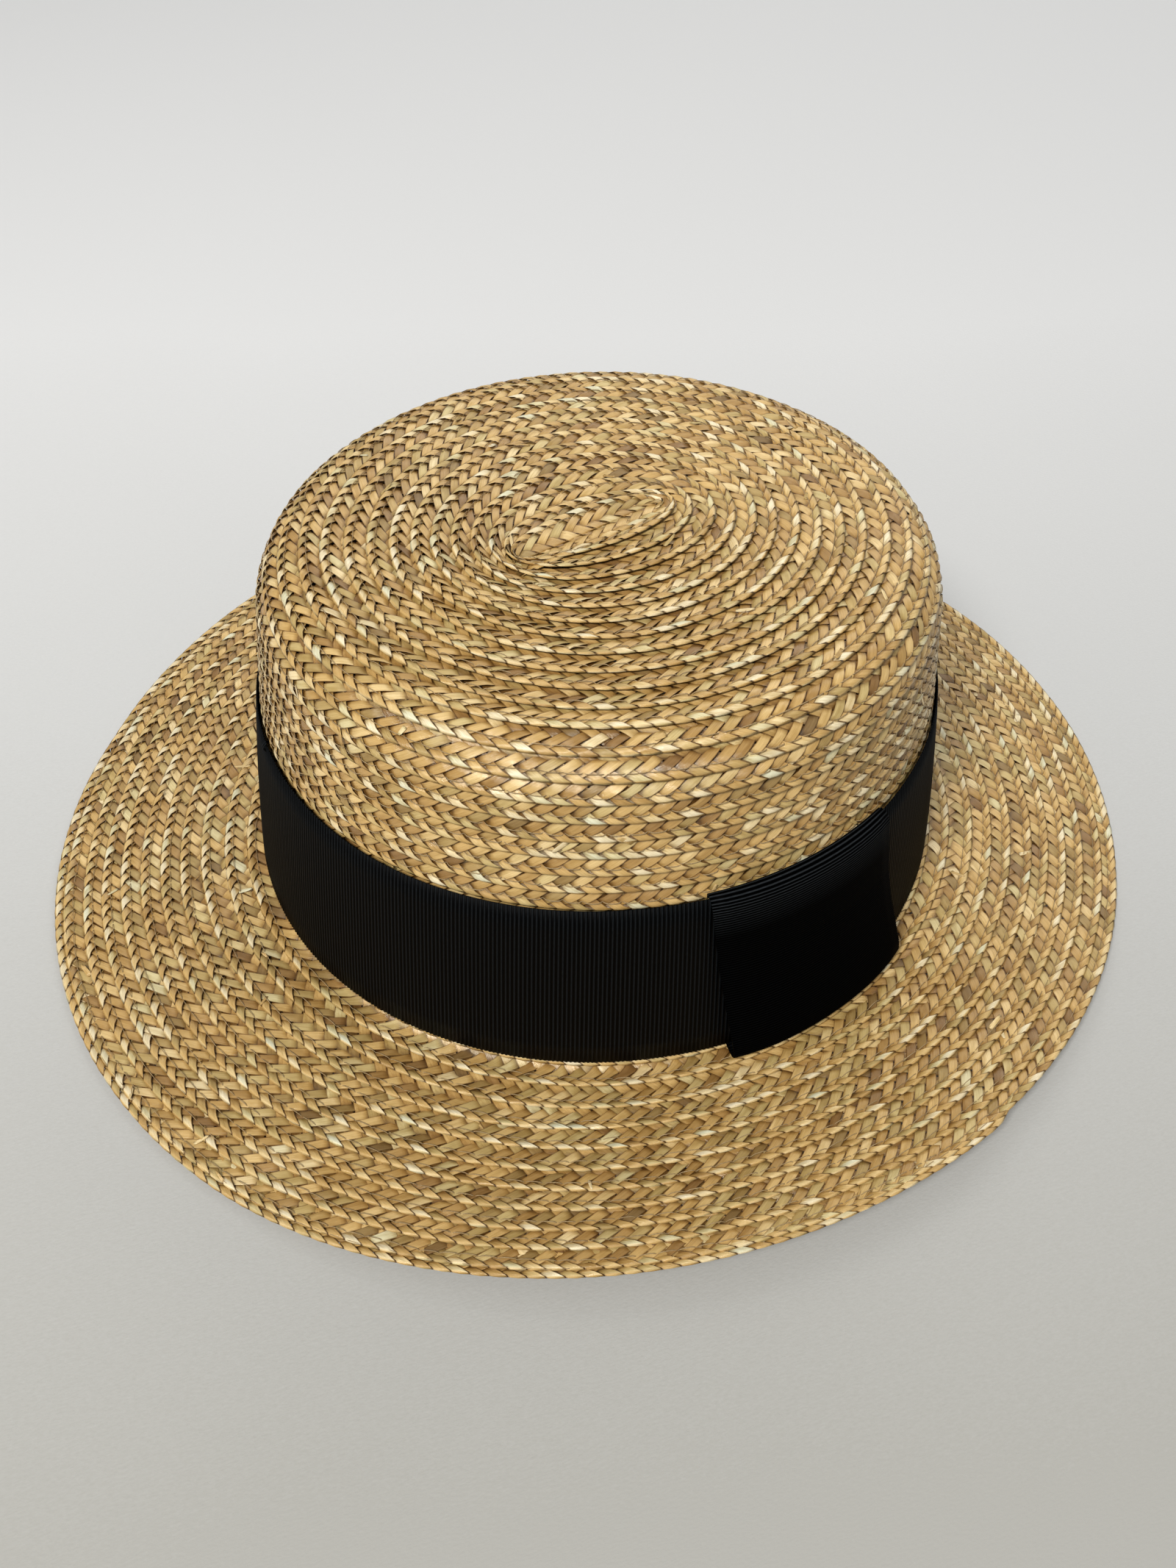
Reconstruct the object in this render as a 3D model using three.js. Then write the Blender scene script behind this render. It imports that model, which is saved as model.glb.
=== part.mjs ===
// Sewn straw boater with a grosgrain ribbon band.
// Millimetres, +Z up, +X towards the wearer's forehead, +Y towards the wearer's left.
// The origin is on the table, under the middle of the crown.
import * as THREE from 'three';

// ---- Driving dimensions -------------------------------------------------------------------
const STRAW = 2.2;            // thickness of two lapped braids
const GAP = 0.3;              // clearance between pieces that touch

const CROWN_FOOT_Z = 7.2;     // top of the brim where the crown stands on it
const CROWN_HEIGHT = 92.5;    // from the brim to the flat of the tip
const CROWN_FOOT_HALF = 90;   // half the crown's width at its foot
const CROWN_TOP_HALF = 79;    // half the crown's width under the shoulder
const SHOULDER_RADIUS = 15;
const SHOULDER_START = 41;    // degrees round the shoulder where its own course of braid begins
const TIP_RISE = 1;           // how far the middle of the tip stands above its rim
const START_HALF = 5.5;       // half the width of the folded start of the braid

const BRIM_HALF = 140.5;      // half the brim's width
const BRIM_FOOT_Z = 4.9;      // underside of the brim below the crown
const BRIM_RAISE = 5.5;       // how far the brim's sides lift and its front and back drop
const BRIM_REST = 0.35;       // share of that drop which the table takes up
const EDGE_WIDTH = 4.2;       // the doubled last round

const CROWN_LONGER = 4;       // how much longer than wide, per side, the crown is
const START_LONGER = 17;      // the same for the very start of the braid, on top of that
const START_FADE = 14;        // how fast the rounds lose the start's length
const BRIM_LONGER = 7.5;      // the same for the brim's edge, on top of the crown's

const RIBBON = 0.6;           // ribbon thickness
const BAND_HEIGHT = 50.4;
const BAND_FOOT_Z = 8.6;
const BAND_LAP = 8;           // degrees by which the band's ends overlap
const BOW_ANGLE = 101;        // where the bow wrap sits, degrees from the front
const BOW_HALF_ANGLE = 16;
const BOW_LEAN = 4;           // degrees that its foot is set back from its head
const BOW_BULGE = 5;          // how far its foot stands out from the band
const SWEATBAND_HEIGHT = 28;
const SWEATBAND_FOOT_Z = 8.5;
const SWEATBAND_THICK = 0.8;
const TACK = 1;               // width of a tack stitch

const ROUND = 64;             // steps round a full oval

// ---- Materials ----------------------------------------------------------------------------
const straw = () => new THREE.MeshStandardMaterial({ color: 0xc9a464, roughness: 0.55, metalness: 0 });
const ribbon = () => new THREE.MeshStandardMaterial({ color: 0x0b0d12, roughness: 0.7, metalness: 0 });
const cotton = () => new THREE.MeshStandardMaterial({ color: 0x16181d, roughness: 0.85, metalness: 0 });
const thread = () => new THREE.MeshStandardMaterial({ color: 0x0b0c0f, roughness: 0.8, metalness: 0 });

// ---- The hat's oval -----------------------------------------------------------------------
const { sin, cos, PI, max, min, exp, hypot } = Math;
const rad = (degrees) => degrees * PI / 180;
const clamp01 = (x) => min(1, max(0, x));
const smooth = (x) => clamp01(x) ** 2 * (3 - 2 * clamp01(x));

// A round whose half width is q is this much longer towards the front and the back.
function longer(q) {
  const brimShare = clamp01((q - CROWN_FOOT_HALF) / (BRIM_HALF - CROWN_FOOT_HALF));
  return CROWN_LONGER + START_LONGER * exp(-q / START_FADE) + BRIM_LONGER * brimShare;
}

// Height of the brim's edge above the table at an angle from the front.
function edgeLift(angle) {
  const wave = -BRIM_RAISE * cos(2 * angle);
  return max(wave, -BRIM_REST * BRIM_RAISE) + BRIM_REST * BRIM_RAISE;
}

// Underside of the brim on the round of half width q.
function brimUnder(q, angle) {
  const share = clamp01((q - CROWN_FOOT_HALF) / (BRIM_HALF - EDGE_WIDTH - CROWN_FOOT_HALF)) ** 1.3;
  return BRIM_FOOT_Z * (1 - share) + edgeLift(angle) * share;
}

// Half width of the crown's outside at height z, below the shoulder.
function crownHalf(z) {
  const share = (z - CROWN_FOOT_Z) / (CROWN_HEIGHT - SHOULDER_RADIUS);
  return CROWN_FOOT_HALF + (CROWN_TOP_HALF - CROWN_FOOT_HALF) * share;
}

const SHOULDER_Z = CROWN_FOOT_Z + CROWN_HEIGHT - SHOULDER_RADIUS;
const TIP_Z = CROWN_FOOT_Z + CROWN_HEIGHT;

// A point on the shoulder's arc, turned from straight up, at a depth below the outer face.
function shoulderPoint(degrees, depth) {
  const r = SHOULDER_RADIUS - depth;
  const centre = CROWN_TOP_HALF - SHOULDER_RADIUS;
  return [centre + r * sin(rad(degrees)), SHOULDER_Z + r * cos(rad(degrees))];
}

// Height of the tip on the round of half width q, a very shallow dome.
function tipTop(q) {
  const flat = CROWN_TOP_HALF - SHOULDER_RADIUS;
  return TIP_Z + TIP_RISE * (1 - min(1, q / flat) ** 2);
}

// ---- Builders -----------------------------------------------------------------------------

// A closed ring: a closed outline of [half width, height] points carried round the oval.
// height may be a number, or a function of the angle.
function ovalRing(name, outline, material) {
  const closed = [...outline, outline[0]];
  const lathe = new THREE.LatheGeometry(closed.map((_, i) => new THREE.Vector2(1, i)), ROUND);
  const position = lathe.attributes.position;
  for (let step = 0; step <= ROUND; step++) {
    const angle = 2 * PI * (step % ROUND) / ROUND;
    closed.forEach(([q, height], i) => {
      const z = typeof height === 'function' ? height(angle) : height;
      const index = step * closed.length + i;
      position.setXYZ(index, (q + longer(q)) * cos(angle), q * sin(angle), z);
    });
  }
  const mesh = new THREE.Mesh(lathe, material);
  mesh.name = name;
  return mesh;
}

// A strip with four-cornered sections: corners(u) gives the section's corners at u from 0 to 1.
function strip(name, steps, corners, material) {
  const points = [];
  const faces = [];
  for (let i = 0; i <= steps; i++) points.push(...corners(i / steps));
  const side = points.length / (steps + 1);
  for (let i = 0; i < steps; i++) {
    for (let k = 0; k < side; k++) {
      const a = i * side + k;
      const b = i * side + (k + 1) % side;
      faces.push(a, b, a + side, b, b + side, a + side);
    }
  }
  for (let k = 1; k < side - 1; k++) {
    const last = steps * side;
    faces.push(0, k + 1, k, last, last + k, last + k + 1);
  }
  const geometry = new THREE.BufferGeometry();
  geometry.setAttribute('position', new THREE.Float32BufferAttribute(points.flat(), 3));
  geometry.setIndex(faces);
  const mesh = new THREE.Mesh(geometry, material);
  mesh.name = name;
  return mesh;
}

// A point outside the crown's wall, by an angle, a height and a distance out from the straw.
function onCrown(angle, z, out) {
  const q = crownHalf(z);
  const a = q + CROWN_LONGER;
  const across = hypot(cos(angle) / a, sin(angle) / q);
  const normal = [cos(angle) / a / across, sin(angle) / q / across];
  return [a * cos(angle) + out * normal[0], q * sin(angle) + out * normal[1], z];
}

// ---- Straw --------------------------------------------------------------------------------

// The folded start of the braid: a long oval plate in the middle of the tip.
function startStrip() {
  const q = START_HALF;
  const outline = new THREE.Shape();
  outline.absellipse(0, 0, q + longer(q), q, 0, 2 * PI);
  const plate = new THREE.ExtrudeGeometry(outline, { depth: STRAW, bevelEnabled: false, curveSegments: 16 });
  plate.translate(0, 0, TIP_Z + TIP_RISE - STRAW);
  const mesh = new THREE.Mesh(plate, straw());
  mesh.name = 'start_strip';
  return mesh;
}

// The flat top, with the first part of its turn into the shoulder.
function crownTip() {
  const flat = CROWN_TOP_HALF - SHOULDER_RADIUS;
  const rounds = [START_HALF + GAP, 24, 44, flat];
  const turns = [SHOULDER_START / 2, SHOULDER_START];
  const top = [...rounds.map((q) => [q, tipTop(q)]), ...turns.map((t) => shoulderPoint(t, 0))];
  const under = [...rounds.map((q) => [q, tipTop(q) - STRAW]), ...turns.map((t) => shoulderPoint(t, STRAW))];
  return ovalRing('crown_tip', [...under, ...top.reverse()], straw());
}

// The one wide course that turns the corner.
function crownShoulder() {
  const first = SHOULDER_START + 1.5;
  const turns = [0, 1 / 3, 2 / 3, 1].map((t) => first + t * (90 - first));
  const outside = turns.map((t) => shoulderPoint(t, 0));
  const inside = turns.map((t) => shoulderPoint(t, STRAW));
  return ovalRing('crown_shoulder', [...inside, ...outside.reverse()], straw());
}

// The upright wall, standing on the brim.
function crownSide() {
  const foot = CROWN_FOOT_Z + GAP;
  const head = SHOULDER_Z - GAP;
  const middle = (foot + head) / 2;
  const heights = [head, middle, foot];
  const outside = heights.map((z) => [crownHalf(z), z]);
  const inside = heights.map((z) => [crownHalf(z) - STRAW, z]);
  return ovalRing('crown_side', [...inside, ...outside.reverse()], straw());
}

// The brim, from under the crown's foot to the doubled edge.
function brim() {
  const rounds = [CROWN_FOOT_HALF - STRAW, 100, 112, 124, BRIM_HALF - EDGE_WIDTH - GAP];
  const under = rounds.map((q) => [q, (angle) => brimUnder(q, angle)]);
  const top = rounds.map((q) => [q, (angle) => brimUnder(q, angle) + CROWN_FOOT_Z - BRIM_FOOT_Z]);
  return ovalRing('brim', [...under, ...top.reverse()], straw());
}

// The last round of braid, sewn double. Its underside is flat on the table at the front and back.
function brimEdge() {
  const inner = BRIM_HALF - EDGE_WIDTH;
  const thick = STRAW + 0.4;
  const outline = [
    [inner, edgeLift],
    [BRIM_HALF, edgeLift],
    [BRIM_HALF, (angle) => edgeLift(angle) + thick * 0.7],
    [BRIM_HALF - EDGE_WIDTH / 3, (angle) => edgeLift(angle) + thick],
    [inner, (angle) => edgeLift(angle) + thick],
  ];
  return ovalRing('brim_edge', outline, straw());
}

// The cut end of the braid, tapered and tucked under the edge.
function braidEnd() {
  const angle = rad(111.5);
  const length = 14;
  const q = BRIM_HALF - 2;
  const shape = new THREE.Shape();
  shape.moveTo(0, -1.6);
  shape.lineTo(length, -0.5);
  shape.lineTo(length, 0.5);
  shape.lineTo(0, 1.6);
  const plate = new THREE.ExtrudeGeometry(shape, { depth: 1, bevelEnabled: false });
  const mesh = new THREE.Mesh(plate, straw());
  mesh.position.set((q + longer(q)) * cos(angle), q * sin(angle), edgeLift(angle) - 1 - 3 * GAP);
  mesh.rotation.z = Math.atan2(q * cos(angle), -(q + longer(q)) * sin(angle));
  mesh.name = 'braid_end';
  return mesh;
}

// ---- Ribbon -------------------------------------------------------------------------------

// How far the band stands off the straw: snug, a little more under the bow and over its own lap.
function bandOut(u, angle) {
  const fromBow = Math.abs(((angle - rad(BOW_ANGLE) + PI) % (2 * PI) + 2 * PI) % (2 * PI) - PI);
  const underWrap = (RIBBON + GAP) * (1 - smooth((fromBow - rad(BOW_HALF_ANGLE + 6)) / rad(8)));
  const lapShare = 1 - BAND_LAP / (360 + BAND_LAP);
  const overLap = (RIBBON + GAP) * smooth((u - lapShare + 0.03) / 0.03);
  return GAP + underWrap + overLap;
}

// The band: one length of ribbon round the crown's foot, its ends lapped under the bow wrap.
function hatBand() {
  const start = rad(BOW_ANGLE - BAND_LAP / 2);
  return strip('hat_band', ROUND + 6, (u) => {
    const angle = start + u * rad(360 + BAND_LAP);
    const out = bandOut(u, angle);
    const head = BAND_FOOT_Z + BAND_HEIGHT;
    return [
      onCrown(angle, BAND_FOOT_Z, out),
      onCrown(angle, head, out),
      onCrown(angle, head, out + RIBBON),
      onCrown(angle, BAND_FOOT_Z, out + RIBBON),
    ];
  }, ribbon());
}

// The bow wrap: a short length of ribbon taken upright round the band, over its lap.
// Its section is a slim closed loop, so the band passes through it. Its foot stands out.
function bowWrap() {
  const head = BAND_FOOT_Z + BAND_HEIGHT + GAP + RIBBON;
  const foot = BAND_FOOT_Z - GAP - RIBBON;
  const behind = GAP;
  const before = 4 * GAP + 3 * RIBBON;
  // [distance out from the straw, height] round the loop's outer and inner faces
  const outer = [
    [behind, foot], [behind, head], [before + RIBBON, head],
    [before + RIBBON + 1.8, head - 20], [before + RIBBON + BOW_BULGE, foot + 9],
    [before + RIBBON + BOW_BULGE - 0.5, foot + 1.2], [before + RIBBON + BOW_BULGE - 2.5, foot],
  ];
  const inner = [
    [behind + RIBBON, foot + RIBBON], [behind + RIBBON, head - RIBBON], [before, head - RIBBON],
    [before + 1.8, head - 20], [before + BOW_BULGE, foot + 9],
    [before + BOW_BULGE - 0.6, foot + 1.6], [before + BOW_BULGE - 2.6, foot + RIBBON],
  ];
  const steps = 8;
  const points = [];
  const faces = [];
  const count = outer.length;
  for (let i = 0; i <= steps; i++) {
    const t = 2 * i / steps - 1;
    for (const line of [outer, inner]) {
      for (const [out, z] of line) {
        const lean = BOW_LEAN * (1 - (z - foot) / BAND_HEIGHT) - BOW_LEAN / 2;
        points.push(...onCrown(rad(BOW_ANGLE + t * BOW_HALF_ANGLE + lean), z, out));
      }
    }
  }
  const row = 2 * count;
  const quad = (a, b, c, d) => faces.push(a, b, c, a, c, d);
  for (let i = 0; i < steps; i++) {
    for (let k = 0; k < count; k++) {
      const next = (k + 1) % count;
      const at = i * row;
      quad(at + k, at + next, at + row + next, at + row + k);
      quad(at + count + next, at + count + k, at + row + count + k, at + row + count + next);
    }
  }
  for (let k = 0; k < count; k++) {
    const next = (k + 1) % count;
    const end = steps * row;
    quad(k, count + k, count + next, next);
    quad(end + k, end + next, end + count + next, end + count + k);
  }
  const geometry = new THREE.BufferGeometry();
  geometry.setAttribute('position', new THREE.Float32BufferAttribute(points, 3));
  geometry.setIndex(faces);
  const mesh = new THREE.Mesh(geometry, ribbon());
  mesh.name = 'bow_wrap';
  return mesh;
}

// The sweatband: a ribbon round the inside of the crown's foot, its ends lapped at the back.
function sweatband() {
  const lap = 6;
  return strip('sweatband', ROUND + 4, (u) => {
    const angle = rad(180) + u * rad(360 + lap);
    const overLap = (SWEATBAND_THICK + GAP) * smooth((u - 1 + lap / (360 + lap) + 0.03) / 0.03);
    const out = -STRAW - GAP - SWEATBAND_THICK - overLap;
    const head = SWEATBAND_FOOT_Z + SWEATBAND_HEIGHT;
    return [
      onCrown(angle, SWEATBAND_FOOT_Z, out),
      onCrown(angle, head, out),
      onCrown(angle, head, out + SWEATBAND_THICK),
      onCrown(angle, SWEATBAND_FOOT_Z, out + SWEATBAND_THICK),
    ];
  }, cotton());
}

// A tack stitch over the band's upper edge.
function bandTack(name, degrees) {
  const angle = rad(degrees);
  const z = BAND_FOOT_Z + BAND_HEIGHT;
  const [x, y] = onCrown(angle, z, 0.85);
  const stitch = new THREE.BoxGeometry(1, TACK, 0.5);
  const mesh = new THREE.Mesh(stitch, thread());
  mesh.position.set(x, y, z + GAP + 0.35);
  mesh.rotation.z = angle;
  mesh.name = name;
  return mesh;
}

// ---- Assembly -----------------------------------------------------------------------------
const hat = new THREE.Group();
hat.add(startStrip(), crownTip(), crownShoulder(), crownSide(), brim(), brimEdge(), braidEnd());
hat.add(hatBand(), bowWrap(), sweatband());
hat.add(bandTack('band_tack_front', 0), bandTack('band_tack_right', 270), bandTack('band_tack_back', 180));

export default hat;
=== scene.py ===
import math

import bmesh
import bpy
import numpy as np
from mathutils import Matrix, Vector


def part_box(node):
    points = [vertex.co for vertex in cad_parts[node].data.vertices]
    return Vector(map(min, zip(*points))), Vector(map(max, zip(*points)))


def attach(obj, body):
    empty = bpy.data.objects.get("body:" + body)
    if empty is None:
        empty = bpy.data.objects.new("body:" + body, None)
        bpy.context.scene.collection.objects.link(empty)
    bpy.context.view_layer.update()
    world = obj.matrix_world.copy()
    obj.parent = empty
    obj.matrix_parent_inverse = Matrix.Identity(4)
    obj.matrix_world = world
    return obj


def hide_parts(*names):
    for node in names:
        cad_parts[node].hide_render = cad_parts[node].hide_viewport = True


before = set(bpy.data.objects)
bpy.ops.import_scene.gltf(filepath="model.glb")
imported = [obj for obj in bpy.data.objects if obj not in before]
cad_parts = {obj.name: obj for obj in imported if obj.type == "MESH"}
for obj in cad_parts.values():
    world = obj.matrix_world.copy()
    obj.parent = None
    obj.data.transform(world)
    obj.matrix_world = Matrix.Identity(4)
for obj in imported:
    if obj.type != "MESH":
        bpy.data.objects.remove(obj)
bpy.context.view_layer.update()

# A sewn straw boater. Lengths are millimetres until a mesh is made.
# +X is the wearer's forehead, +Y the wearer's left.
MM = 0.001
TAU = 2 * math.pi
luck = np.random.default_rng(1904)
scene = bpy.context.scene

# ---- The hat's oval, as the CAD has it ------------------------------------------------------
CROWN_FOOT_Z = 7.2
CROWN_FOOT_HALF = 90.0
CROWN_TOP_HALF = 79.0
SHOULDER_RADIUS = 15.0
SHOULDER_Z = 84.7
TIP_Z = 99.7
FLAT_HALF = 64.0
BRIM_HALF = 140.5
EDGE_WIDTH = 4.2
BRIM_FOOT_Z = 4.9
BRIM_THICK = 2.3
BRIM_RAISE = 5.5
BRIM_REST = 0.35
CORNER = 2.4              # rounding where the crown meets the brim
LONGER_BY = 4             # the oval's long half is longer than its short half by this, on the crown
START_AT = (5.0, 2.6)     # the braid's start lies this far off the middle of the tip
START_TURN = 0.24         # and turned this much, in radians
START_SPREAD = 17.0       # how fast the rounds lose both


def longer(q):
    """How much longer the oval's long half is, at a short half q."""
    brim_share = np.clip((q - CROWN_FOOT_HALF) / (BRIM_HALF - CROWN_FOOT_HALF), 0, 1)
    return LONGER_BY + 17 * np.exp(-q / 14) + 7.5 * brim_share


def edge_lift(angle):
    """How high the brim's edge stands: raised at the sides, flat at front and back."""
    wave = -BRIM_RAISE * np.cos(2 * angle)
    return np.maximum(wave, -BRIM_REST * BRIM_RAISE) + BRIM_REST * BRIM_RAISE


def brim_top(q, angle):
    """Height of the brim's upper face."""
    share = (q - CROWN_FOOT_HALF) / (BRIM_HALF - EDGE_WIDTH - CROWN_FOOT_HALF)
    share = np.clip(share, 0, 1) ** 1.3
    return BRIM_FOOT_Z * (1 - share) + edge_lift(angle) * share + BRIM_THICK


def crown_half(z):
    """Short half of the crown's oval at height z."""
    share = (z - CROWN_FOOT_Z) / (SHOULDER_Z - CROWN_FOOT_Z)
    return CROWN_FOOT_HALF + (CROWN_TOP_HALF - CROWN_FOOT_HALF) * share


# The profile from the middle of the tip to the brim, as half widths and heights.
wall_lean = math.atan2(CROWN_FOOT_HALF - CROWN_TOP_HALF, SHOULDER_Z - CROWN_FOOT_Z)
tip_q = np.linspace(0, FLAT_HALF, 100)
turn = np.linspace(0, math.pi / 2 - wall_lean, 40)[1:]
shoulder_q = FLAT_HALF + SHOULDER_RADIUS * np.sin(turn)
shoulder_z = SHOULDER_Z + SHOULDER_RADIUS * np.cos(turn)
wall_t = np.linspace(0, 1, 60)[1:]
wall_z = shoulder_z[-1] + (CROWN_FOOT_Z + CORNER - shoulder_z[-1]) * wall_t
wall_q = shoulder_q[-1] + (crown_half(CROWN_FOOT_Z + CORNER) - shoulder_q[-1]) * wall_t
bend = np.linspace(0, math.pi / 2, 12)[1:]
corner_q = wall_q[-1] + CORNER * (1 - np.cos(bend))
corner_z = CROWN_FOOT_Z + CORNER * (1 - np.sin(bend))
PROFILE_Q = np.concatenate([tip_q, shoulder_q, wall_q, corner_q])
PROFILE_Z = np.concatenate([TIP_Z + 1 - (tip_q / FLAT_HALF) ** 2, shoulder_z, wall_z, corner_z])
PROFILE_M = np.concatenate([[0], np.cumsum(np.hypot(np.diff(PROFILE_Q), np.diff(PROFILE_Z)))])
FOOT_M = PROFILE_M[-1]
FOOT_Q = PROFILE_Q[-1]


def hat_point(m, angle):
    """The hat's outer face at a distance m along the profile from the middle of the tip."""
    m = np.maximum(m, 0.2)
    q = np.where(m < FOOT_M, np.interp(m, PROFILE_M, PROFILE_Q), FOOT_Q + m - FOOT_M)
    z = np.where(m < FOOT_M, np.interp(m, PROFILE_M, PROFILE_Z), brim_top(q, angle))
    x, y = (q + longer(q)) * np.cos(angle), q * np.sin(angle)
    start = np.exp(-q / START_SPREAD)
    lean = START_TURN * start
    x, y = x * np.cos(lean) - y * np.sin(lean), x * np.sin(lean) + y * np.cos(lean)
    return np.stack([x + START_AT[0] * start, y + START_AT[1] * start, z], -1)


def unit(v):
    return v / np.maximum(np.linalg.norm(v, axis=-1, keepdims=True), 1e-9)


def hat_frame(m, angle):
    """The outer face and its outward normal."""
    p = hat_point(m, angle)
    away = unit(hat_point(m + 0.5, angle) - hat_point(np.maximum(m, 1.0) - 0.5, angle))
    onward = hat_point(m, angle + 0.004) - hat_point(m, angle - 0.004)
    normal = np.cross(away, unit(onward))
    flat = (m < FLAT_HALF - 3)[..., None]
    normal = unit(np.where(flat, np.array([0.0, 0.0, 1.0]), normal))
    return p, normal


# ---- The spiral of braid --------------------------------------------------------------------
# Where each round's outer edge lies, as a distance along the profile, at 66 degrees from the front.
# The brim's rounds are given as half widths.
RIDGES = [7.6, 13.4, 19.7, 25.5, 30.8, 36.0, 41.4, 46.6, 52.3, 57.3, 63.0, 68.3, 73.9, 79.9, 85.1,
          89.8, 94.8, 99.5, 104.5, 109.0, 114.1]
BRIM_RIDGES = [95.4, 101.4, 106.8, 111.7, 116.8, 121.3, 125.9, 130.2, 134.7, 139.2, 140.4, 141.6]
HIDDEN_ROUNDS = 11
brim_m = [q - FOOT_Q + FOOT_M for q in BRIM_RIDGES]
hidden = list(np.linspace(RIDGES[-1], brim_m[0], HIDDEN_ROUNDS + 2)[1:-1])
ROUND_M = np.array(RIDGES + hidden + brim_m)
MEASURED_AT = 66 / 360
LAST_TURN = len(ROUND_M) - 2 + 111.5 / 360

turns = np.arange(-0.56, LAST_TURN + 1e-6, 1 / 360)
ridge = np.interp(turns, np.arange(len(ROUND_M)) + MEASURED_AT, ROUND_M)
SMOOTH_OVER = 181         # degrees
kernel = np.ones(SMOOTH_OVER) / SMOOTH_OVER
ridge = np.pad(ridge, SMOOTH_OVER // 2, mode="reflect", reflect_type="odd")
ridge = np.convolve(ridge, kernel, mode="valid")

# The maker's hand wanders a little from round to round.
WANDER_KNOTS = np.arange(-1, 46, 0.07)
wander = luck.normal(0, 0.16, len(WANDER_KNOTS))
ridge += np.interp(turns, WANDER_KNOTS, wander)

BRAID_WIDE = 7.3
STRAWS = 5
PITCH = 4.05              # from one straw to the next along the braid
CROSSING = STRAWS * PITCH / 2    # from one fold of a straw to the next

middle = hat_point(ridge - BRAID_WIDE / 3, turns * TAU)
LENGTH = np.concatenate([[0], np.cumsum(np.linalg.norm(np.diff(middle, axis=0), axis=1))])


def on_spiral(s, v, out):
    """A point on the braid: s along it, v across from its inner edge, out from the hat's face."""
    t = np.interp(s, LENGTH, turns)
    edge = np.interp(t, turns, ridge)
    p, normal = hat_frame(edge - BRAID_WIDE + v, t * TAU)
    return p + normal * out[..., None]


# ---- How one plait lies ---------------------------------------------------------------------
# Heights of a straw's middle against its place across the plait, as a share of the width,
# for a straw on its way out and for one on its way back in.
PLACE = np.array([-0.1, 0.0, 0.1, 0.2, 0.3, 0.4, 0.5, 0.6, 0.7, 0.8, 0.9, 1.0, 1.1])
OUTWARD = np.array([0.0, 0.08, 0.22, 0.28, 0.02, -0.27, -0.3, -0.29, 0.02, 0.34, 0.56, 0.36, 0.1])
INWARD = np.array([0.0, -0.08, -0.22, -0.27, -0.02, 0.3, 0.36, 0.3, -0.02, -0.28, -0.3, -0.16, 0.0])
ALONG = np.array([0.0, 0.05, 0.12, 0.2, 0.3, 0.4, 0.5, 0.6, 0.7, 0.8, 0.88, 0.95])
LENS = 0.11               # half the thickness of a flattened straw
FOLD_OUT = 0.2
SHINGLE = 0.13            # each straw lies with one edge over its neighbour
# Between these two distances along the braid the rope at its outer edge gets narrower.
CROWD_AT = [11000, 13000]
CROWD = [0.06, 0.13]
RUN_OF_ROWS = 6           # folds that share one stalk's colour


def seat(g):
    """Height of the plait's middle above the hat's inner layer, across it."""
    rise = np.clip((g - 0.72) / 0.12, 0, 1)
    return -1.68 + 1.02 * g + 0.2 * rise * rise * (3 - 2 * rise)


def four(values):
    """One value for each ring, repeated for its four points."""
    return np.repeat(values[:, None], 4, 1)


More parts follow.
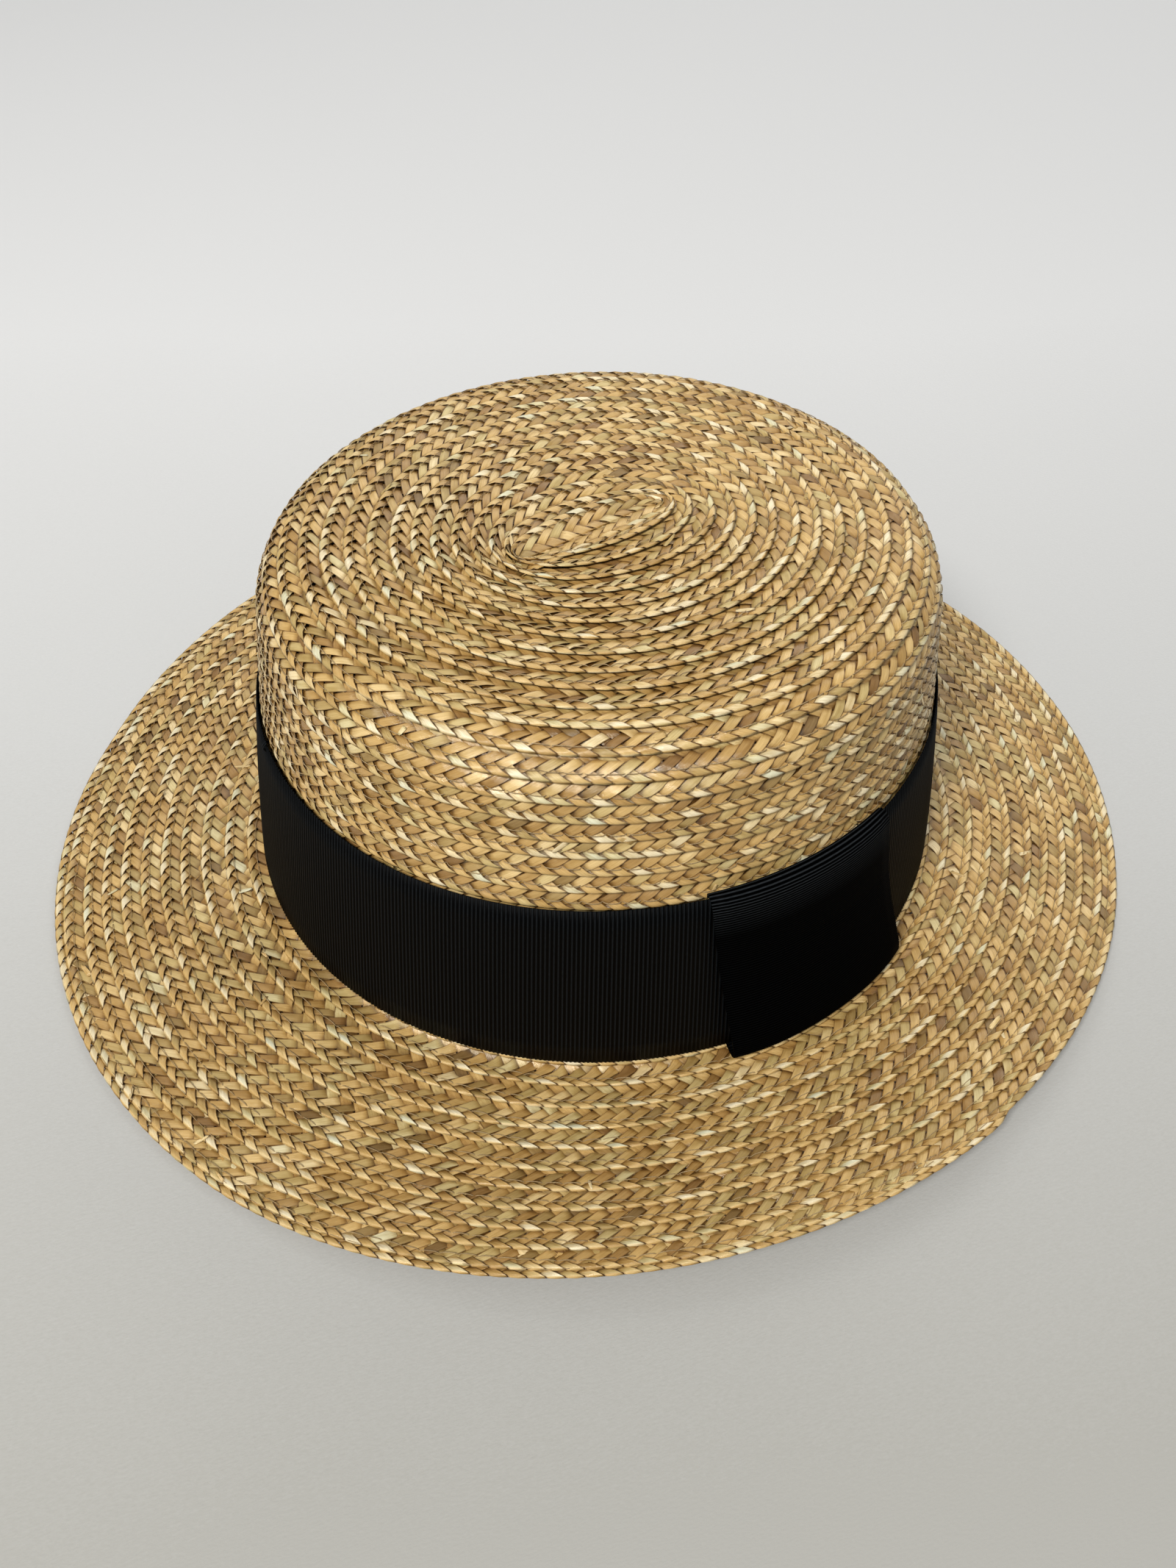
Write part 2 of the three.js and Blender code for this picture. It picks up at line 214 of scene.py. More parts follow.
def plait(first, last, lay, shrink=None):
    """The straws of a plait from s = first to last, as rings of four points.

    Tone holds a straw's colour draw, its greyness draw and how far it stands up, which sets the
    painted shade where it dips under. Grain holds the place across the straw, along the braid, and
    a number of its own for each straw.
    """
    strands = []
    steps = len(ALONG)
    for i in range(STRAWS):
        k0 = math.floor(first / CROSSING - 2 * i / STRAWS)
        k1 = math.ceil(last / CROSSING - 2 * i / STRAWS)
        count = k1 - k0
        k = np.repeat(np.arange(k0, k1), steps)
        f = np.tile(ALONG, count)
        k = np.append(k, k1)
        f = np.append(f, 0.0)
        at = k + f
        s = (at + 2 * i / STRAWS) * CROSSING
        keep = (s >= first - CROSSING / 2) & (s <= last + CROSSING / 2)
        k, f, s = k[keep], f[keep], s[keep]
        outward = k % 2 == 0
        g = np.where(outward, f, 1 - f)
        fold = f == 0
        which = k - k.min()
        mood = luck.random((which.max() + 2, 8))
        loose = np.sin(math.pi * f)
        crowd = np.interp(s, CROWD_AT, CROWD)
        half = PITCH / 2 * (0.958 - 0.10 * mood[which, 0] * loose)
        shift = (mood[which, 1] - 0.5) * 0.5 * loose
        lift = (mood[which, 2] - 0.5) * 0.17 * loose
        tilt = (SHINGLE + (mood[which, 3] - 0.5) * 0.46) * loose
        fat = LENS * (0.75 + 0.5 * mood[which, 4])
        ring, shade_depth = [], []
        for side, lens in ((-1, 0), (0, 1), (1, 0), (0, -1)):
            slant = np.where(outward, 0.1, -0.1) * side
            place = np.clip(g + np.where(fold, 0, slant), -0.1, 1.1)
            going_out = np.interp(place, PLACE, OUTWARD)
            coming_in = np.interp(place, PLACE, INWARD)
            height = np.where(outward, going_out, coming_in)
            at_fold = np.where(g > 0.5, 0.14, 0.0)
            height = np.where(fold, at_fold, height) + lift + tilt * side
            up = np.where(fold, 0.0, np.where(outward, 1.0, -1.0)) * lens * fat
            past_edge = np.where(g > 0.5, 1.0, -1.0)
            beyond = np.where(fold, past_edge, 0.0) * (lens * fat + FOLD_OUT)
            v = (g + crowd * np.sin(math.pi * g)) * BRAID_WIDE + beyond
            along = s + side * half + shift
            out = seat(g) + height + up
            if shrink is not None:
                v, out = shrink(along, v, out)
            ring.append(lay(along, v, out))
            # How far the straw stands up, from 0 to 1: it sets the painted shade where the straw
            # dips under its neighbours.
            shade_depth.append(np.clip(0.5 + height / 0.6, 0, 1))
        rings = np.stack(ring, 1)
        n = len(s)
        across = np.tile([0.0, 0.5, 1.0, 0.5], (n, 1))
        own = mood[which, 5] * 90
        grain = np.stack([across, four(s), four(own)], -1)
        family = luck.random(n // (RUN_OF_ROWS * steps) + 3)
        run = family[np.arange(n) // (RUN_OF_ROWS * steps)]
        hue = np.clip(0.76 * mood[which, 6] + 0.30 * run - 0.03, 0, 1)
        hue = np.clip(hue + np.where(g > 0.78, 0.17, -0.07), 0, 1)
        greener = np.interp(s, CROWD_AT, [0.02, 0.15])
        cool = np.clip(mood[which, 7] + np.where(g < 0.7, greener, 0), 0, 1)
        tone = np.stack([four(hue), four(cool), np.stack(shade_depth, 1)], -1)
        strands.append((rings, tone, grain))
    return strands


def sleeves(name, strands, sharp=()):
    """A piece of closed sleeves. A strand is (rings, tone, grain), each ring joined to the next."""
    bm = bmesh.new()
    places, tones, grains, corners = [], [], [], []
    for rings, tone, grain in strands:
        n, k = rings.shape[:2]
        start = len(bm.verts)
        bmesh.ops.create_grid(bm, x_segments=k, y_segments=n - 1, size=1)
        made = len(bm.verts) - start
        if made != n * (k + 1):
            raise ValueError(f"grid of {made} points, not {n * (k + 1)}")
        wrap = list(range(k)) + [0]
        places.append(rings[:, wrap].reshape(-1, 3))
        tones.append(tone[:, wrap].reshape(-1, 3))
        grains.append(grain[:, wrap].reshape(-1, 3))
        corners.append(np.tile(wrap, n))
    mesh = bpy.data.meshes.new(name)
    bm.to_mesh(mesh)
    bm.free()
    metres = np.concatenate(places) * MM
    mesh.vertices.foreach_set("co", metres.astype(np.float32).ravel())
    layer = mesh.attributes.new("straw_tone", "FLOAT_VECTOR", "POINT")
    layer.data.foreach_set("vector", np.concatenate(tones).astype(np.float32).ravel())
    layer = mesh.attributes.new("straw_grain", "FLOAT_VECTOR", "POINT")
    layer.data.foreach_set("vector", np.concatenate(grains).astype(np.float32).ravel())
    layer = mesh.attributes.new("corner", "INT", "POINT")
    layer.data.foreach_set("value", np.concatenate(corners).astype(np.int32))
    bm = bmesh.new()
    bm.from_mesh(mesh)
    rim = [v for v in bm.verts if v.is_boundary]
    bmesh.ops.remove_doubles(bm, verts=rim, dist=1e-7)
    ends = [e for e in bm.edges if e.is_boundary]
    if ends:
        bmesh.ops.holes_fill(bm, edges=ends, sides=0)
    bm.to_mesh(mesh)
    bm.free()
    mesh.polygons.foreach_set("use_smooth", np.ones(len(mesh.polygons), bool))
    if sharp:
        corner = np.zeros(len(mesh.vertices), np.int32)
        mesh.attributes["corner"].data.foreach_get("value", corner)
        pair = np.zeros(len(mesh.edges) * 2, np.int32)
        mesh.edges.foreach_get("vertices", pair)
        pair = corner[pair.reshape(-1, 2)]
        crease = (pair[:, 0] == pair[:, 1]) & np.isin(pair[:, 0], sharp)
        layer = mesh.attributes.new("sharp_edge", "BOOLEAN", "EDGE")
        layer.data.foreach_set("value", crease)
    mesh.attributes.remove(mesh.attributes["corner"])
    piece = bpy.data.objects.new(name, mesh)
    scene.collection.objects.link(piece)
    return piece


def outward_facing(piece):
    """Turns a closed mesh's faces outwards if its volume comes out negative."""
    bm = bmesh.new()
    bm.from_mesh(piece.data)
    if bm.calc_volume(signed=True) < 0:
        bmesh.ops.reverse_faces(bm, faces=bm.faces)
        bm.to_mesh(piece.data)
    bm.free()
    return piece


# ---- Materials --------------------------------------------------------------------------------
def material(name):
    m = bpy.data.materials.new(name)
    m.use_nodes = True
    nodes, links = m.node_tree.nodes, m.node_tree.links
    return m, nodes, links, nodes["Principled BSDF"]


def ramp(nodes, stops):
    node = nodes.new("ShaderNodeValToRGB")
    band = node.color_ramp
    while len(band.elements) < len(stops):
        band.elements.new(0.5)
    for element, (at, colour) in zip(band.elements, stops):
        element.position = at
        element.color = (*colour, 1)
    return node


def noise(nodes, scale, detail=2.0, rough=0.5):
    node = nodes.new("ShaderNodeTexNoise")
    node.inputs["Scale"].default_value = scale
    node.inputs["Detail"].default_value = detail
    node.inputs["Roughness"].default_value = rough
    return node


def scaled(nodes, links, source, scale):
    node = nodes.new("ShaderNodeMapping")
    node.inputs["Scale"].default_value = scale
    links.new(source, node.inputs["Vector"])
    return node.outputs["Vector"]


def mix(nodes, links, kind, amount, a, b):
    node = nodes.new("ShaderNodeMix")
    node.data_type = "RGBA"
    node.blend_type = kind
    for socket, value in ((node.inputs[0], amount), (node.inputs[6], a), (node.inputs[7], b)):
        if isinstance(value, bpy.types.NodeSocket):
            links.new(value, socket)
        elif isinstance(value, tuple):
            socket.default_value = (*value, 1)
        else:
            socket.default_value = value
    return node.outputs[2]


def math_node(nodes, links, operation, *values):
    node = nodes.new("ShaderNodeMath")
    node.operation = operation
    for socket, value in zip(node.inputs, values):
        if isinstance(value, bpy.types.NodeSocket):
            links.new(value, socket)
        else:
            socket.default_value = value
    return node.outputs[0]


def straw_material():
    m, nodes, links, shader = material("wheat_straw")
    tone = nodes.new("ShaderNodeAttribute")
    tone.attribute_name = "straw_tone"
    grain = nodes.new("ShaderNodeAttribute")
    grain.attribute_name = "straw_grain"
    split = nodes.new("ShaderNodeSeparateXYZ")
    links.new(tone.outputs["Vector"], split.inputs[0])
    place = nodes.new("ShaderNodeSeparateXYZ")
    links.new(grain.outputs["Vector"], place.inputs[0])
    hue = ramp(nodes, [(0.0, (0.30, 0.170, 0.060)), (0.08, (0.44, 0.265, 0.092)),
                       (0.25, (0.55, 0.350, 0.125)), (0.50, (0.70, 0.475, 0.185)),
                       (0.70, (0.79, 0.565, 0.245)), (0.84, (0.91, 0.725, 0.39)),
                       (1.0, (0.97, 0.87, 0.62))])
    links.new(split.outputs[0], hue.inputs[0])
    fibres = noise(nodes, 1.0, 3.0, 0.65)
    streaks = scaled(nodes, links, grain.outputs["Vector"], (22.0, 0.18, 1.0))
    links.new(streaks, fibres.inputs["Vector"])
    fibre_dark = ramp(nodes, [(0.30, (0.66, 0.58, 0.46)), (0.60, (1.0, 1.0, 1.0))])
    links.new(fibres.outputs["Fac"], fibre_dark.inputs[0])
    colour = mix(nodes, links, "MULTIPLY", 0.7, hue.outputs[0], fibre_dark.outputs[0])
    blotch = noise(nodes, 1.0, 2.0)
    patches = scaled(nodes, links, grain.outputs["Vector"], (1.3, 0.22, 1.0))
    links.new(patches, blotch.inputs["Vector"])
    blotch_tint = ramp(nodes, [(0.32, (0.76, 0.68, 0.52)), (0.6, (1.04, 1.02, 1.0))])
    links.new(blotch.outputs["Fac"], blotch_tint.inputs[0])
    colour = mix(nodes, links, "MULTIPLY", 0.8, colour, blotch_tint.outputs[0])
    # Painted shade: each straw is painted darker along both side edges, standing in for the shadow
    # in the gaps between straws.
    side = math_node(nodes, links, "SUBTRACT", place.outputs[0], 0.5)
    side = math_node(nodes, links, "ABSOLUTE", side)
    edge = ramp(nodes, [(0.40, (1.0, 1.0, 1.0)), (0.5, (0.27, 0.16, 0.07))])
    links.new(side, edge.inputs[0])
    colour = mix(nodes, links, "MULTIPLY", 0.9, colour, edge.outputs[0])
    # Painted shade: straws are painted darker where they dip under their neighbours, as in the
    # shadow there; the lowest parts go nearly black.
    tucked_shade = ramp(nodes, [(0.30, (0.20, 0.12, 0.05)), (0.62, (0.74, 0.67, 0.54)),
                          (0.9, (1.0, 1.0, 1.0))])
    links.new(split.outputs[2], tucked_shade.inputs[0])
    colour = mix(nodes, links, "MULTIPLY", 0.85, colour, tucked_shade.outputs[0])
    grey = ramp(nodes, [(0.70, (0, 0, 0)), (0.85, (1, 1, 1))])
    links.new(split.outputs[1], grey.inputs[0])
    greenish = mix(nodes, links, "MULTIPLY", 1.0, colour, (0.87, 0.97, 1.03))
    colour = mix(nodes, links, "MIX", grey.outputs[0], colour, greenish)
    links.new(colour, shader.inputs["Base Color"])
    gloss = ramp(nodes, [(0.0, (0.17, 0.17, 0.17)), (1.0, (0.38, 0.38, 0.38))])
    links.new(split.outputs[1], gloss.inputs[0])
    links.new(gloss.outputs[0], shader.inputs["Roughness"])
    shader.inputs["Specular IOR Level"].default_value = 0.85
    shader.inputs["Specular Tint"].default_value = (1.0, 0.94, 0.80, 1)
    bump = nodes.new("ShaderNodeBump")
    bump.inputs["Strength"].default_value = 0.5
    bump.inputs["Distance"].default_value = 0.00015
    links.new(fibres.outputs["Fac"], bump.inputs["Height"])
    links.new(bump.outputs[0], shader.inputs["Normal"])
    return m


def thread_material():
    m, nodes, links, shader = material("sewing_thread")
    where = nodes.new("ShaderNodeTexCoord")
    twist = noise(nodes, 3000.0, 1.0)
    links.new(where.outputs["Object"], twist.inputs["Vector"])
    tint = ramp(nodes, [(0.3, (0.30, 0.20, 0.09)), (0.7, (0.46, 0.33, 0.17))])
    links.new(twist.outputs["Fac"], tint.inputs[0])
    links.new(tint.outputs[0], shader.inputs["Base Color"])
    shader.inputs["Roughness"].default_value = 0.6
    return m


RIB = 1.0                 # from one rib of the band's ribbon to the next


def ribbon_material(name, colour, rib_highlight, shine):
    """Grosgrain: fine warp threads between the ribs, which run across the ribbon.

    The tone's first number says where the ribs catch the light, from 0 to 1.
    """
    m, nodes, links, shader = material(name)
    grain = nodes.new("ShaderNodeAttribute")
    grain.attribute_name = "straw_grain"
    weave = noise(nodes, 1.0, 1.0)
    warp = scaled(nodes, links, grain.outputs["Vector"], (6.0, 0.9, 1.0))
    links.new(warp, weave.inputs["Vector"])
    split = nodes.new("ShaderNodeSeparateXYZ")
    links.new(grain.outputs["Vector"], split.inputs[0])
    # Painted highlight and shade: the colour goes from black in the grooves to the highlight colour
    # on the rib crests.
    rib = math_node(nodes, links, "MULTIPLY", split.outputs[0], TAU / RIB)
    rib = math_node(nodes, links, "COSINE", rib)
    rib = math_node(nodes, links, "MULTIPLY_ADD", rib, 0.40, 0.5)
    tint = ramp(nodes, [(0.25, (0.0, 0.0, 0.0)), (0.60, colour), (0.9, rib_highlight)])
    links.new(rib, tint.inputs[0])
    fleck = ramp(nodes, [(0.3, (0.6, 0.6, 0.6)), (0.7, (1.0, 1.0, 1.0))])
    links.new(weave.outputs["Fac"], fleck.inputs[0])
    colour = mix(nodes, links, "MULTIPLY", 1.0, tint.outputs[0], fleck.outputs[0])
    # Painted sheen: the ribbon is painted darker where the tone's first number is low, down to an
    # eighth at 0, so only the ribs near the top of the bow keep their shine.
    sheen_share = nodes.new("ShaderNodeAttribute")
    sheen_share.attribute_name = "straw_tone"
    pale = ramp(nodes, [(0.0, (0.12, 0.12, 0.12)), (1.0, (1.0, 1.0, 1.0))])
    links.new(sheen_share.outputs["Fac"], pale.inputs[0])
    colour = mix(nodes, links, "MULTIPLY", 1.0, colour, pale.outputs[0])
    links.new(colour, shader.inputs["Base Color"])
    shader.inputs["Roughness"].default_value = 0.5
    shader.inputs["Specular IOR Level"].default_value = shine
    bump = nodes.new("ShaderNodeBump")
    bump.inputs["Strength"].default_value = 0.3
    bump.inputs["Distance"].default_value = 0.00005
    links.new(weave.outputs["Fac"], bump.inputs["Height"])
    links.new(bump.outputs[0], shader.inputs["Normal"])
    return m


straw = straw_material()
sewing = thread_material()
grosgrain = ribbon_material(
    "black_grosgrain", (0.0012, 0.0015, 0.0019), (0.0105, 0.0125, 0.0145), 0.045)
# The bow's copy of the same grosgrain has a brighter painted rib highlight, which the painted sheen
# keeps only near its top.
bow_grosgrain = ribbon_material(
    "bow_grosgrain", (0.0020, 0.0024, 0.0028), (0.0300, 0.0340, 0.0380), 0.01)
tape = ribbon_material("sweatband_tape", (0.008, 0.009, 0.011), (0.018, 0.019, 0.022), 0.2)

# ---- Camera, floor and light ------------------------------------------------------------------
cam_data = bpy.data.cameras.new("camera")
cam_data.sensor_fit = "HORIZONTAL"
cam_data.sensor_width = 36
cam_data.lens = 36 * 1728.9 / 1600
cam = bpy.data.objects.new("camera", cam_data)
right, up = Vector((-0.9196, 0.3926, 0.0106)), Vector((-0.2814, -0.6774, 0.6797))
forward = Vector((-0.2740, -0.6221, -0.7334))
turned = Matrix((right, up, -forward)).transposed().to_quaternion().to_matrix().to_4x4()
cam.matrix_world = Matrix.Translation((0.10271, 0.22700, 0.27704)) @ turned
scene.collection.objects.link(cam)
scene.camera = cam
scene.view_settings.view_transform = "Standard"

FLOOR_HALF = 20           # metres
bm = bmesh.new()
bmesh.ops.create_grid(bm, x_segments=1, y_segments=1, size=FLOOR_HALF)
floor_mesh = bpy.data.meshes.new("floor")
bm.to_mesh(floor_mesh)
bm.free()
floor = bpy.data.objects.new("floor", floor_mesh)
scene.collection.objects.link(floor)
m, nodes, links, shader = material("pale_cloth")
where = nodes.new("ShaderNodeTexCoord")
cloth = noise(nodes, 900.0, 2.0)
links.new(scaled(nodes, links, where.outputs["Object"], (1.0, 2.2, 1.0)), cloth.inputs["Vector"])
soft = noise(nodes, 5.0, 2.0)
links.new(where.outputs["Object"], soft.inputs["Vector"])
both = mix(nodes, links, "MIX", 0.5, soft.outputs["Color"], cloth.outputs["Color"])
back = nodes.new("ShaderNodeSeparateXYZ")
links.new(where.outputs["Object"], back.inputs[0])
# Painted light and shade: the cloth is painted paler away from the wearer's left and towards the
# back.
far = math_node(nodes, links, "MULTIPLY_ADD", back.outputs[1], -1.5, 0.42)
far = math_node(nodes, links, "MULTIPLY_ADD", both, 0.25, far)
far = math_node(nodes, links, "MULTIPLY_ADD", back.outputs[0], -0.55, far)
shade = ramp(nodes, [(0.25, (0.42, 0.415, 0.388)), (0.60, (0.605, 0.61, 0.605)),
                     (1.0, (0.755, 0.76, 0.765))])
links.new(far, shade.inputs[0])
links.new(shade.outputs[0], shader.inputs["Base Color"])
shader.inputs["Roughness"].default_value = 0.9
bump = nodes.new("ShaderNodeBump")
bump.inputs["Strength"].default_value = 0.25
bump.inputs["Distance"].default_value = 0.0003
links.new(cloth.outputs["Fac"], bump.inputs["Height"])
links.new(bump.outputs[0], shader.inputs["Normal"])
floor.data.materials.append(m)

world = bpy.data.worlds.new("studio")
world.use_nodes = True
sky = world.node_tree.nodes["Background"]
sky.inputs["Color"].default_value = (1.0, 0.995, 0.975, 1)
sky.inputs["Strength"].default_value = 0.31
scene.world = world


def softbox(name, place, target, size, power, colour):
    """A rectangular lamp at a place, aimed at a target, in metres and watts."""
    data = bpy.data.lights.new(name, "AREA")
    data.shape = "RECTANGLE"
    data.size, data.size_y = size
    data.energy = power
    data.color = colour
    light = bpy.data.objects.new(name, data)
    aim = (Vector(target) - Vector(place)).to_track_quat("-Z", "Y")
    light.matrix_world = Matrix.Translation(place) @ aim.to_matrix().to_4x4()
    scene.collection.objects.link(light)


softbox("window", (0.96, 0.73, 1.62), (0, 0, 0.05), (0.52, 0.52), 35, (1.0, 0.985, 0.955))
softbox("room", (-1.0, -1.1, 1.3), (-0.1, -0.1, 0.0), (1.6, 1.2), 9, (0.99, 0.99, 0.98))


# ---- The straw braid, course by course ----------------------------------------------------------
def reach(m):
    """How far along the braid its outer edge reaches a distance m along the profile."""
    return float(np.interp(np.interp(m, ridge, turns), turns, LENGTH))


def end_taper(s, v, out):
    """The braid's two ends narrow and slip under the round beside them."""
    start = np.clip((s + 4) / 16, 0, 1)
    finish = np.clip((LENGTH[-1] + 4 - s) / 18, 0, 1)
    t = np.minimum(start, finish)
    t = t * t * (3 - 2 * t)
    return v * (0.35 + 0.65 * t) + (1 - t) * 0.5, out - (1 - t) * 0.9


TONGUE_LONG = 36          # the straight run folded under the first round


def tongue(s, v, out):
    """The very start of the braid, a straight run folded under the first round."""
    along, across = START_AT[0] + TONGUE_LONG / 2 - s, v - BRAID_WIDE / 2
    x = along * math.cos(START_TURN) - across * math.sin(START_TURN)
    y = along * math.sin(START_TURN) + across * math.cos(START_TURN) + START_AT[1]
    return np.stack([x, y, TIP_Z + 0.6 + out], -1)


START_END = float(np.interp(0.5, turns, LENGTH))
TIP_END = reach(FLAT_HALF + 2)
SHOULDER_END = reach(86.5)
SIDE_THIRD = reach(112)
SIDE_TWO_THIRDS = reach(139)
SIDE_END = reach(FOOT_M + 1)
BRIM_HALF_WAY = reach(FOOT_M + 25)
BRIM_END = reach(BRIM_HALF - FOOT_Q + FOOT_M - 3)
# Each course: its name, where it begins and ends, the CAD nodes it stands for and its slot.
COURSES = [("start_braid", 0, START_END, ["start_strip"], "straw_tip"),
           ("crown_tip_braid", START_END, TIP_END, ["crown_tip"], "straw_tip"),
           ("crown_shoulder_braid", TIP_END, SHOULDER_END, ["crown_shoulder"], "straw_tip"),
           ("crown_side_upper_braid", SHOULDER_END, SIDE_THIRD, ["crown_side"], "straw_side"),
           ("crown_side_middle_braid", SIDE_THIRD, SIDE_TWO_THIRDS, [], "straw_side"),
           ("crown_side_lower_braid", SIDE_TWO_THIRDS, SIDE_END, [], "straw_side"),
           ("brim_inner_braid", SIDE_END, BRIM_HALF_WAY, ["brim"], "straw_brim"),
           ("brim_outer_braid", BRIM_HALF_WAY, BRIM_END, [], "straw_brim"),
           ("brim_edge_braid", BRIM_END, LENGTH[-1], ["brim_edge", "braid_end"], "straw_brim")]
for name, first, last, nodes_for, slot in COURSES:
    strands = plait(first, last, on_spiral, end_taper)
    if name == "start_braid":
        strands += plait(0, TONGUE_LONG, tongue)
    piece = outward_facing(sleeves(name, strands, sharp=(0, 2)))
    piece.data.materials.append(straw)
    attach(piece, "root")
    if nodes_for:
        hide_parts(*nodes_for)


def tube(path, radius, sides):
    """Rings of a round tube along a path of points."""
    way = unit(np.gradient(path, axis=0))
    across = unit(np.cross(way, np.array([0.31, 0.17, 0.93])))
    lift = np.cross(way, across)
    spin = np.arange(sides) * TAU / sides
    circle = across[:, None] * np.cos(spin)[:, None] + lift[:, None] * np.sin(spin)[:, None]
    rings = path[:, None] + circle * radius
    blank = np.zeros((len(path), sides, 3))
    blank[..., 1] = np.arange(len(path))[:, None]
    return rings, blank, blank


# Cut ends of straw that have worked out of the plait.
LOOSE_ENDS = 90
strands = []
for _ in range(LOOSE_ENDS):
    s0 = luck.uniform(120, LENGTH[-1] - 40)
    turnaway = luck.uniform(-1.3, 1.3) + (math.pi if luck.random() < 0.5 else 0)
    long = luck.uniform(1.8, 4.6)
    walk = np.linspace(0, long, 5)
    place = luck.uniform(2.6, 5.6)
    half = luck.uniform(0.28, 0.6) * np.array([1.0, 1.0, 0.95, 0.85, 0.55])
    climb = -0.6 + 0.16 * walk + luck.uniform(0.02, 0.05) * walk ** 2
    rings = []
    for side, lens in ((-1, 0), (0, 1), (1, 0), (0, -1)):
        s_at = s0 + walk * math.cos(turnaway) - side * half * math.sin(turnaway)
        v_at = place + walk * math.sin(turnaway) + side * half * math.cos(turnaway)
        rings.append(on_spiral(s_at, v_at, climb + lens * 0.07))
    tone = np.tile([luck.uniform(0.3, 1.0), luck.random(), 1.0], (5, 4, 1))
    grain = np.stack([np.tile([0.1, 0.5, 0.9, 0.5], (5, 1)), four(walk), np.full((5, 4), s0)], -1)
    strands.append((np.stack(rings, 1), tone, grain))
piece = outward_facing(sleeves("loose_straw_ends", strands, sharp=(0, 2)))
piece.data.materials.append(straw)
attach(piece, "root")

# One long run of stitches along the spiral, just inside each round's raised edge.
STITCH = 4.3
POINTS = 5                # to a stitch
THREAD_RADIUS = 0.11
s = np.arange(14, LENGTH[-1] - 10, STITCH / POINTS)
phase = (np.arange(len(s)) % POINTS) / POINTS
height = np.select([phase < 0.1, phase < 0.3, phase < 0.7], [-0.9, -0.22, -0.10], -0.20)
sway_knots = np.arange(0, LENGTH[-1], 9.0)
sway = np.interp(s, sway_knots, luck.normal(0, 0.16, len(sway_knots)))
path = on_spiral(s, 0.735 * BRAID_WIDE + sway, height)
piece = outward_facing(sleeves("sewing_thread", [tube(path, THREAD_RADIUS, 3)]))
piece.data.materials.append(sewing)
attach(piece, "root")


# ---- Ribbon -----------------------------------------------------------------------------------
def on_crown(angle, z, out):
    """A point beside the crown's wall, out from it."""
    q = crown_half(z)
    a = q + LONGER_BY
    normal = unit(np.stack([np.cos(angle) / a, np.sin(angle) / q], -1))
    x = a * np.cos(angle) + out * normal[..., 0]
    y = q * np.sin(angle) + out * normal[..., 1]
    return np.stack([x, y, z + 0 * out], -1)


RIBBON = 0.6              # the ribbon's thickness
BAND_FOOT, BAND_HEAD = 8.6, 59.0
BOW_RIB = 0.74            # the wrap's ribs, which lie level
BOW_AT = math.radians(101)
BOW_HALF = math.radians(16)
BOW_LEAN = math.radians(4)


def band_rings():
    """The hat band, once round the crown with its two ends lapped under the bow."""
    start, finish = BOW_AT - math.radians(4) - TAU, BOW_AT + math.radians(4)
    radius = 90.0
    n = int((finish - start) * radius / RIB * 4)
    angle = np.linspace(start, finish, n)
    rows = np.linspace(0, 1, 9)
    rib = 0.12 * np.cos(angle * radius / RIB * TAU)
    near_bow = np.exp(-((np.mod(angle - BOW_AT + math.pi, TAU) - math.pi) / 0.36) ** 4)
    lap = np.clip((angle - finish + 0.3) / 0.1, 0, 1) * 0.75
    ring = []
    for share in list(rows) + list(rows[::-1]):
        outer = len(ring) >= len(rows)
        z = BAND_FOOT + (BAND_HEAD - BAND_FOOT) * share
        z = z + 0.35 * np.sin(3 * angle + 1) * (share - 0.5)
        swell = 0.25 * math.sin(math.pi * share) + 0.075 * np.sin(5 * angle + 4 * share)
        out = 0.75 + 0.55 * near_bow + lap + swell
        thick = RIBBON / 2 if 0.001 < share < 0.999 else RIBBON / 3
        if outer:
            out = out + thick + rib
        ring.append(on_crown(angle, z, out))
    rings = np.stack(ring, 1)
    along = np.repeat((angle * radius)[:, None], len(ring), 1)
    high = np.tile([*rows, *rows[::-1]], (n, 1)) * 50
    grain = np.stack([along, high, 0 * along], -1)
    return rings, np.ones_like(grain), grain


piece = outward_facing(sleeves("hat_band_ribbon", [band_rings()]))
piece.data.materials.append(grosgrain)
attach(piece, "root")
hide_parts("hat_band")


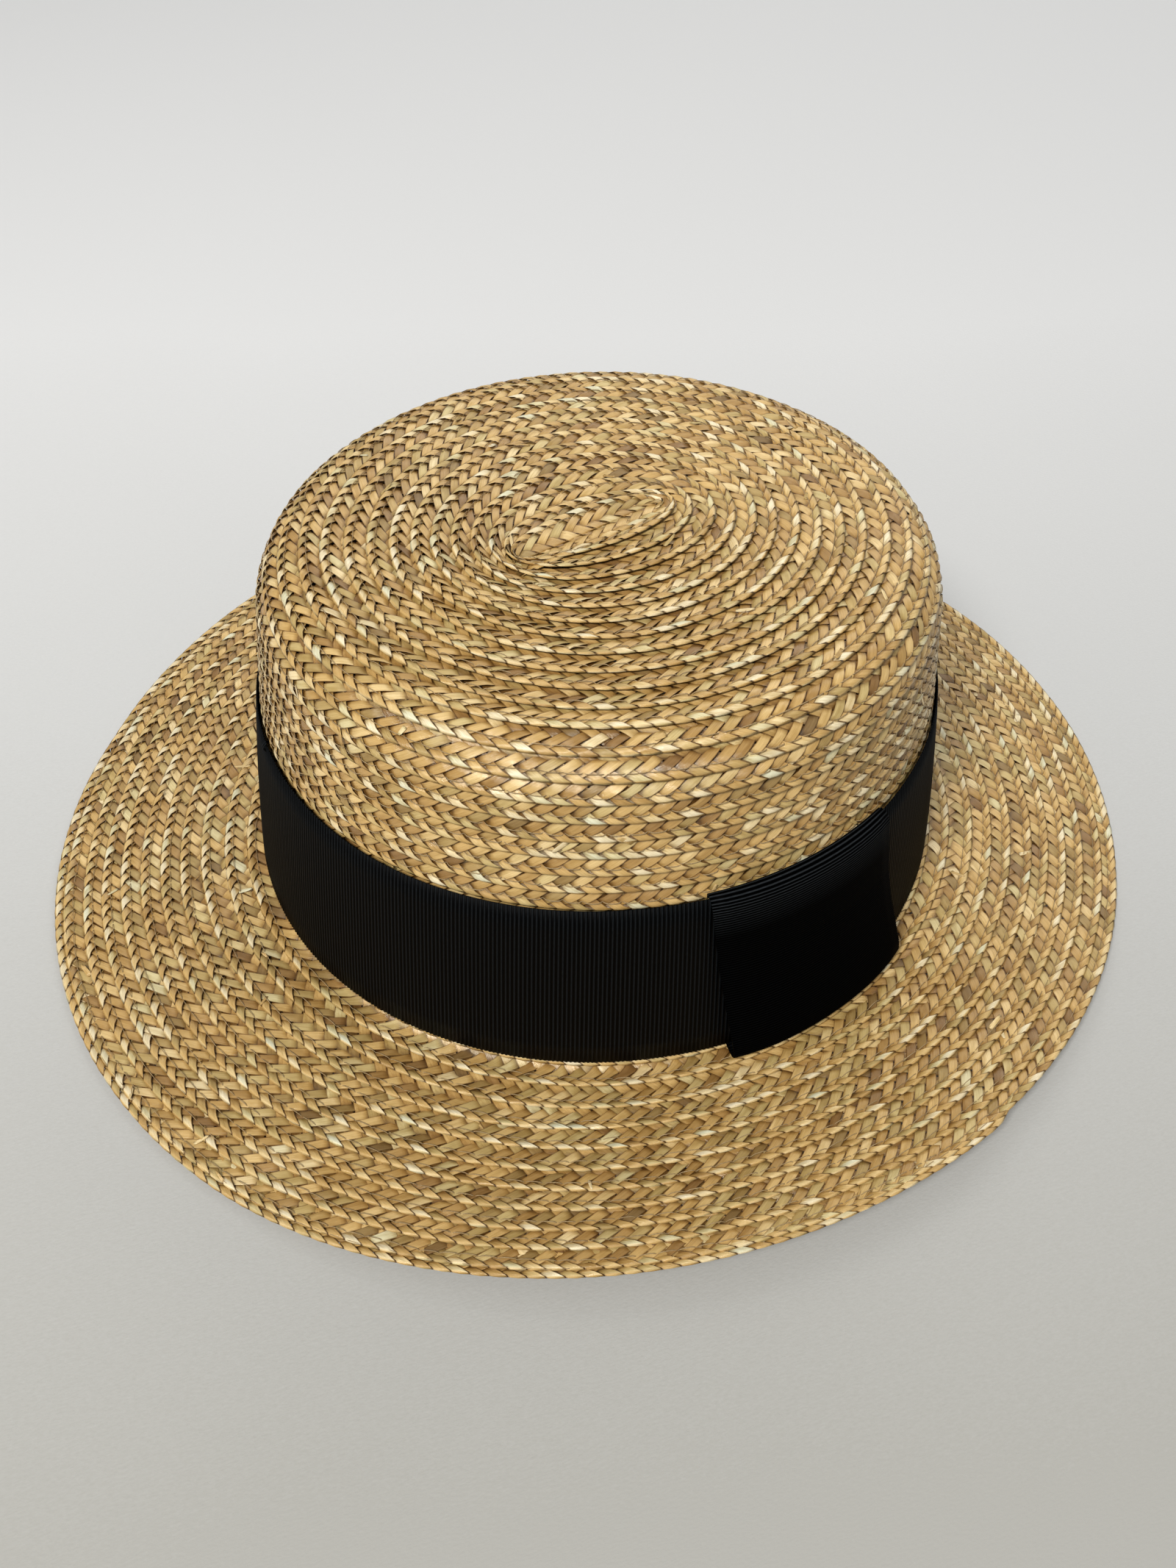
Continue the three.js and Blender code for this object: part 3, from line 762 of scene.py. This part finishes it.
def bow_rings():
    """The wrap, from its joint behind the band, over the head, down the front and back up."""
    # out from the crown's wall, and height
    knots = np.array([
        [0.35, 33.0], [0.35, 50.0], [0.40, 57.5], [0.9, 60.0], [2.0, 60.9], [3.2, 60.2],
        [3.7, 58.0], [3.5, 50.0], [3.3, 40.0], [4.0, 30.0], [5.2, 21.0], [6.1, 14.0],
        [6.0, 10.0], [4.9, 8.0], [3.2, 7.4], [1.6, 7.7], [0.6, 9.0], [0.35, 13.0], [0.35, 32.0]])
    walk = np.concatenate([[0], np.cumsum(np.hypot(*np.diff(knots, axis=0).T))])
    n = int(walk[-1] / BOW_RIB * 5)
    at = np.linspace(0, walk[-1], n)
    out, z = (np.interp(at, walk, knots[:, j]) for j in (0, 1))
    soften = np.ones(9) / 9
    out, z = (np.convolve(np.pad(x, 4, mode="edge"), soften, mode="valid") for x in (out, z))
    away = unit(np.stack([-np.gradient(z), np.gradient(out)], -1))
    rib = 0.09 * np.cos(at / BOW_RIB * TAU)
    cols = np.linspace(-1, 1, 15)
    ring = []
    for c in list(cols) + list(cols[::-1]):
        outer = len(ring) >= len(cols)
        push = RIBBON / 2 + rib if outer else 0.0
        pillow = 0.7 * (1 - c ** 4) * np.clip((out - 1.5) / 2, 0, 1)
        o = out + pillow + away[:, 0] * push
        h = z + away[:, 1] * push
        lean = BOW_LEAN * (60 - z) / 52
        angle = BOW_AT + c * BOW_HALF + lean - BOW_LEAN / 2
        ring.append(on_crown(angle, h, o))
    rings = np.stack(ring, 1)
    along = np.repeat(at[:, None] * RIB / BOW_RIB, len(ring), 1)
    wide = np.tile([*cols, *cols[::-1]], (n, 1)) * 25
    grain = np.stack([along, wide, 0 * along], -1)
    # The painted sheen's share: 1 at the top of the wrap, falling to 0 below 49 mm.
    head = np.clip((z - 49) / 9, 0, 1)
    tone = np.repeat(np.repeat(head[:, None, None], len(ring), 1), 3, 2)
    return rings, tone, grain


piece = outward_facing(sleeves("bow_ribbon", [bow_rings()]))
piece.data.materials.append(bow_grosgrain)
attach(piece, "root")
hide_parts("bow_wrap")


def sweatband_rings():
    """The ribbed tape inside the crown's foot."""
    radius = 88.0
    n = int(TAU * radius / RIB * 3)
    angle = np.linspace(math.pi, 3 * math.pi - 0.01, n)
    rows = np.linspace(0, 1, 7)
    rib = 0.04 * np.cos(angle * radius / RIB * TAU)
    ring = []
    for share in list(rows) + list(rows[::-1]):
        inner = len(ring) >= len(rows)
        z = 8.5 + 28 * share
        out = -2.75 - 0.5 * share * share - 0.12 * np.sin(7 * angle) * share
        if inner:
            out = out - 0.5 + rib
        ring.append(on_crown(angle, z, out))
    rings = np.stack(ring, 1)
    along = np.repeat((angle * radius)[:, None], len(ring), 1)
    high = np.tile([*rows, *rows[::-1]], (n, 1)) * 28
    grain = np.stack([along, high, 0 * along], -1)
    return rings, np.ones_like(grain), grain


piece = outward_facing(sleeves("sweatband_ribbon", [sweatband_rings()]))
piece.data.materials.append(tape)
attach(piece, "root")
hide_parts("sweatband")

# Small stitches that hold the band to the crown.
for node in ("band_tack_front", "band_tack_right", "band_tack_back"):
    low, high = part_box(node)
    mid = (low + high) / 2 * 1000
    angle = math.atan2(mid.y / 85, mid.x / 89)
    strands = []
    for shift in (-0.35, 0.35):
        t = np.linspace(0, 1, 9)
        z = BAND_HEAD - 2.2 + 3.2 * t
        across = angle + shift / 87 + 0.004 + 0.006 * t
        path = on_crown(across, z, 0.9 + 0.75 * np.sin(math.pi * t))
        strands.append(tube(path, 0.16, 6))
    piece = outward_facing(sleeves(node + "_thread", strands))
    piece.data.materials.append(grosgrain)
    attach(piece, "root")
    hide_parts(node)
